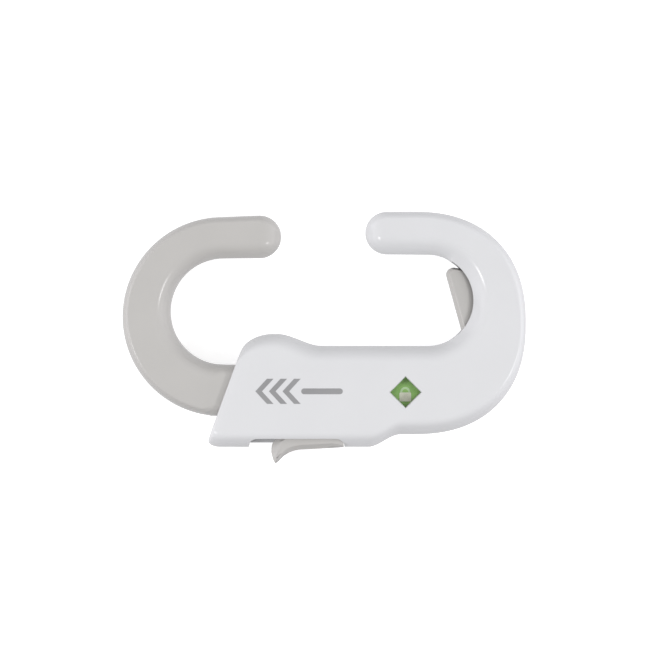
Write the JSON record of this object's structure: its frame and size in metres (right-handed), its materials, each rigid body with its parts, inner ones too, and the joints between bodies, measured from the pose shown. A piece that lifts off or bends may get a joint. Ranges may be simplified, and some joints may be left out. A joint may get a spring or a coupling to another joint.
{
  "type": "cabinet door slide lock",
  "caption": "Portable child-safety slide lock for paired cabinet doors: J-hooked body, ratcheting C-hook, trigger, squeeze lever and lock-state window.",
  "frame": {"origin": "Centre of the whole outline in X and Y, on the flat rear face (Z = 0)", "axes": "+X along the sliding direction towards the white hook, +Y towards the two hook arms, +Z out of the front face"},
  "size_m": [0.162, 0.1008, 0.024],
  "materials": {
    "white_plastic": "satin gloss injection moulding",
    "grey_plastic": "satin gloss injection moulding, warm grey",
    "works_plastic": "natural acetal, matte",
    "screw_steel": "zinc-plated steel",
    "pin_steel": "ground steel",
    "spring_steel": "drawn spring wire",
    "clear_lens": "clear polycarbonate",
    "green_label": "printed label",
    "red_label": "printed label"
  },
  "bodies": {
    "housing": {"front_shell": "white_plastic", "rear_shell": "white_plastic", "shell_screws": "screw_steel", "window_lens": "clear_lens", "ratchet_pawl": "works_plastic", "pawl_screw": "screw_steel", "lever_pin": "pin_steel", "trigger_spring": "spring_steel", "lever_spring": "spring_steel"},
    "sliding_hook": {"hook_front": "grey_plastic", "hook_rear": "grey_plastic", "hook_screws": "screw_steel", "rack_bar": "works_plastic", "stop_pin": "pin_steel"},
    "trigger": {"trigger": "grey_plastic", "cam_plate": "works_plastic", "cam_screws": "screw_steel"},
    "squeeze_lever": {"squeeze_lever": "grey_plastic", "indicator_arm": "works_plastic", "indicator_screws": "screw_steel", "locked_label": "green_label", "unlocked_label": "red_label"},
    "lock_bar": {"lock_bar": "works_plastic"}
  },
  "joints": [
    {"name": "hook_slide", "type": "slide", "parent": "housing", "child": "sliding_hook", "axis": [-1, 0, 0], "range_m": [0, 0.0385], "deforming": ["ratchet_pawl"]},
    {"name": "trigger_slide", "type": "slide", "parent": "housing", "child": "trigger", "axis": [-1, 0, 0], "range_m": [0, 0.008], "stiffness_N_per_m": 150, "deforming": ["trigger_spring", "ratchet_pawl"]},
    {"name": "lever_press", "type": "hinge", "parent": "housing", "child": "squeeze_lever", "pos_m": [0.06, -0.002, 0.012], "axis": [0, 0, -1], "range_deg": [0, 16], "stiffness_Nm_per_rad": 0.03, "deforming": ["lever_spring"]},
    {"name": "lock_bar_slide", "type": "slide", "parent": "housing", "child": "lock_bar", "axis": [-1, 0, 0], "range_m": [0, 0.008]}
  ],
  "couplings": [
    {"joint": "lock_bar_slide", "follows": "lever_press", "m_per_rad": 0.0276}
  ]
}
